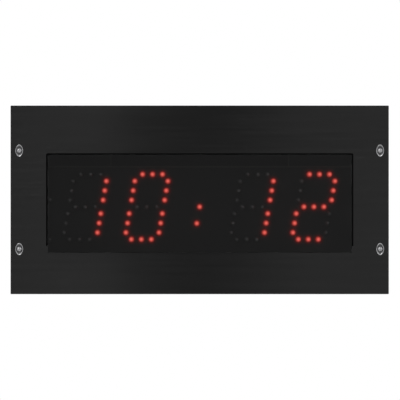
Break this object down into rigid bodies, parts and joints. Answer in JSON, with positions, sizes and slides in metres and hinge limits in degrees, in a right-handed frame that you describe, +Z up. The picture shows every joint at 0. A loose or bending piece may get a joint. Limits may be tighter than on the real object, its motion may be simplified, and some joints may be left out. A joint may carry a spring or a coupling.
{
  "type": "flush-mounted LED clock",
  "caption": "Flush-mounted digital clock: black brushed front plate, smoked window, slanted digits of single red LEDs, shallow sheet-metal case behind.",
  "frame": {"origin": "middle of the mounting face: the back of the panel gasket, level with the front plate's middle", "axes": "the front faces -Y, +Z is up, +X is to the right as seen from the front"},
  "size_m": [0.378, 0.0724, 0.1886],
  "materials": {
    "black_anodised_aluminium": "black anodised, brushed from left to right",
    "zinc_plated_steel": "bright zinc plated",
    "black_foam_rubber": "closed-cell foam, matt",
    "smoked_acrylic": "smoked, polished on both faces",
    "stainless_steel": "satin",
    "black_circuit_board": "matt black solder mask",
    "nickel_plated_brass": "nickel plated, turned from hexagon bar",
    "chip_epoxy": "moulded epoxy",
    "capacitor_sleeve": "shrunk vinyl sleeve",
    "black_nylon": "moulded",
    "grey_ribbon": "vinyl insulated flat cable",
    "green_polyamide": "moulded",
    "red_switch_plastic": "moulded",
    "grey_abs": "moulded",
    "black_coated_steel": "fine-textured powder coat",
    "lit_red_led": "water-clear moulded epoxy, lit red from inside",
    "clear_led": "water-clear moulded epoxy, unlit"
  },
  "bodies": {
    "clock": {"front_plate": "black_anodised_aluminium", "clinch_studs": "zinc_plated_steel", "panel_gasket": "black_foam_rubber", "lens_gasket": "black_foam_rubber", "filter_lens": "smoked_acrylic", "lens_clips": "zinc_plated_steel", "flange_nuts": "zinc_plated_steel", "panel_screws": "stainless_steel", "panel_washers": "stainless_steel", "led_board": "black_circuit_board", "front_pillars": "nickel_plated_brass", "board_screws": "zinc_plated_steel", "segment_drivers": "chip_epoxy", "main_board": "black_circuit_board", "rear_pillars": "nickel_plated_brass", "power_module": "chip_epoxy", "smoothing_capacitors": "capacitor_sleeve", "processor": "chip_epoxy", "battery_holder": "black_nylon", "backup_battery": "stainless_steel", "ribbon_link": "grey_ribbon", "terminal_sockets": "green_polyamide", "setup_switches": "red_switch_plastic", "rear_case": "black_coated_steel", "rear_cover": "black_coated_steel", "cover_screws": "zinc_plated_steel", "hours_tens_a": "clear_led", "hours_tens_b": "lit_red_led", "hours_tens_c": "lit_red_led", "hours_tens_d": "clear_led", "hours_tens_e": "clear_led", "hours_tens_f": "clear_led", "hours_tens_g": "clear_led", "hours_units_a": "lit_red_led", "hours_units_b": "lit_red_led", "hours_units_c": "lit_red_led", "hours_units_d": "lit_red_led", "hours_units_e": "lit_red_led", "hours_units_f": "lit_red_led", "hours_units_g": "clear_led", "minutes_tens_a": "clear_led", "minutes_tens_b": "lit_red_led", "minutes_tens_c": "lit_red_led", "minutes_tens_d": "clear_led", "minutes_tens_e": "clear_led", "minutes_tens_f": "clear_led", "minutes_tens_g": "clear_led", "minutes_units_a": "lit_red_led", "minutes_units_b": "lit_red_led", "minutes_units_c": "clear_led", "minutes_units_d": "lit_red_led", "minutes_units_e": "lit_red_led", "minutes_units_f": "clear_led", "minutes_units_g": "lit_red_led", "colon_leds": "lit_red_led", "indicator_leds": "clear_led"},
    "power_plug": {"power_plug": "green_polyamide"},
    "signal_plug": {"signal_plug": "green_polyamide"},
    "hour_button": {"hour_button": "grey_abs"},
    "minute_button": {"minute_button": "grey_abs"}
  },
  "joints": [
    {"name": "power_plug_pull", "type": "slide", "parent": "clock", "child": "power_plug", "axis": [0, 1, 0], "range_m": [0, 0.012]},
    {"name": "signal_plug_pull", "type": "slide", "parent": "clock", "child": "signal_plug", "axis": [0, 1, 0], "range_m": [0, 0.012]},
    {"name": "hour_button_press", "type": "slide", "parent": "clock", "child": "hour_button", "axis": [0, -1, 0], "range_m": [0, 0.0015], "stiffness_N_per_m": 400, "springref_m": -0.001},
    {"name": "minute_button_press", "type": "slide", "parent": "clock", "child": "minute_button", "axis": [0, -1, 0], "range_m": [0, 0.0015], "stiffness_N_per_m": 400, "springref_m": -0.001}
  ]
}
